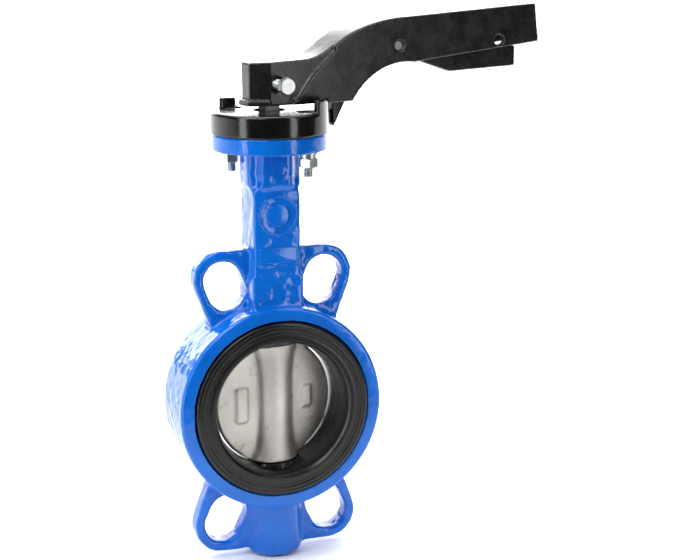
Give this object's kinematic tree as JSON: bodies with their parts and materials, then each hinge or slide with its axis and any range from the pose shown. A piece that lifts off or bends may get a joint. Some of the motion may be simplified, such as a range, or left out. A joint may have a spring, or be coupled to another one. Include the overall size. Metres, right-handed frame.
{
  "type": "butterfly valve",
  "caption": "Wafer butterfly valve: cast body with rubber seat and centring lugs, steel disc on a stem, notched top plate and squeeze-trigger hand lever.",
  "frame": {"origin": "centre of the waterway, where the flow axis meets the stem axis", "axes": "flow along Y, with the face shown to the viewer towards -Y; stem axis along +Z, towards the lever; the lever points along +X when the valve is shut and turns towards +Y to open"},
  "size_m": [0.2416, 0.0779, 0.324],
  "materials": {
    "blue_casting": "gloss blue epoxy over ductile iron casting",
    "seat_rubber": "semi-gloss moulded EPDM rubber",
    "cast_stainless": "matte shot-blasted cast stainless steel",
    "stem_steel": "turned stainless bar",
    "spring_steel": "phosphated spring steel",
    "bush_bronze": "turned bearing bronze",
    "o_ring_rubber": "moulded nitrile rubber",
    "zinc_steel": "bright zinc-plated steel",
    "black_plate": "gloss black paint over cast iron",
    "black_lever": "satin black powder coat over cast aluminium",
    "black_trigger": "satin black powder coat over cast aluminium"
  },
  "bodies": {
    "body": {"body_casting": "blue_casting", "seat_liner": "seat_rubber", "thrust_washer": "bush_bronze", "top_bush": "bush_bronze", "upper_o_ring": "o_ring_rubber", "seal_spacer": "bush_bronze", "lower_o_ring": "o_ring_rubber", "middle_bush": "bush_bronze", "neck_bush": "bush_bronze", "foot_bush": "bush_bronze", "foot_o_ring": "o_ring_rubber", "thrust_disc": "bush_bronze", "bottom_plug": "zinc_steel", "notch_plate": "black_plate", "plate_bolts": "zinc_steel", "plate_washers": "zinc_steel", "plate_spring_washers": "zinc_steel", "plate_nuts": "zinc_steel"},
    "lever_and_disc": {"disc": "cast_stainless", "upper_stem": "stem_steel", "lower_stem": "stem_steel", "retaining_ring": "spring_steel", "lever": "black_lever", "clamp_screw": "zinc_steel", "trigger_pivot_pin": "spring_steel", "trigger_spring": "spring_steel"},
    "trigger": {"trigger": "black_trigger"}
  },
  "joints": [
    {"name": "lever_turn", "type": "hinge", "parent": "body", "child": "lever_and_disc", "pos_m": [0, 0, 0], "axis": [0, 0, 1], "range_deg": [-10, 80]},
    {"name": "trigger_squeeze", "type": "hinge", "parent": "lever_and_disc", "child": "trigger", "pos_m": [0.07878, 0.01389, 0.2074], "axis": [0.1736, -0.9848, 0], "range_deg": [-4.3, 5], "stiffness_Nm_per_rad": 1.8, "springref_deg": -10.31, "deforming": ["trigger_spring"]}
  ]
}
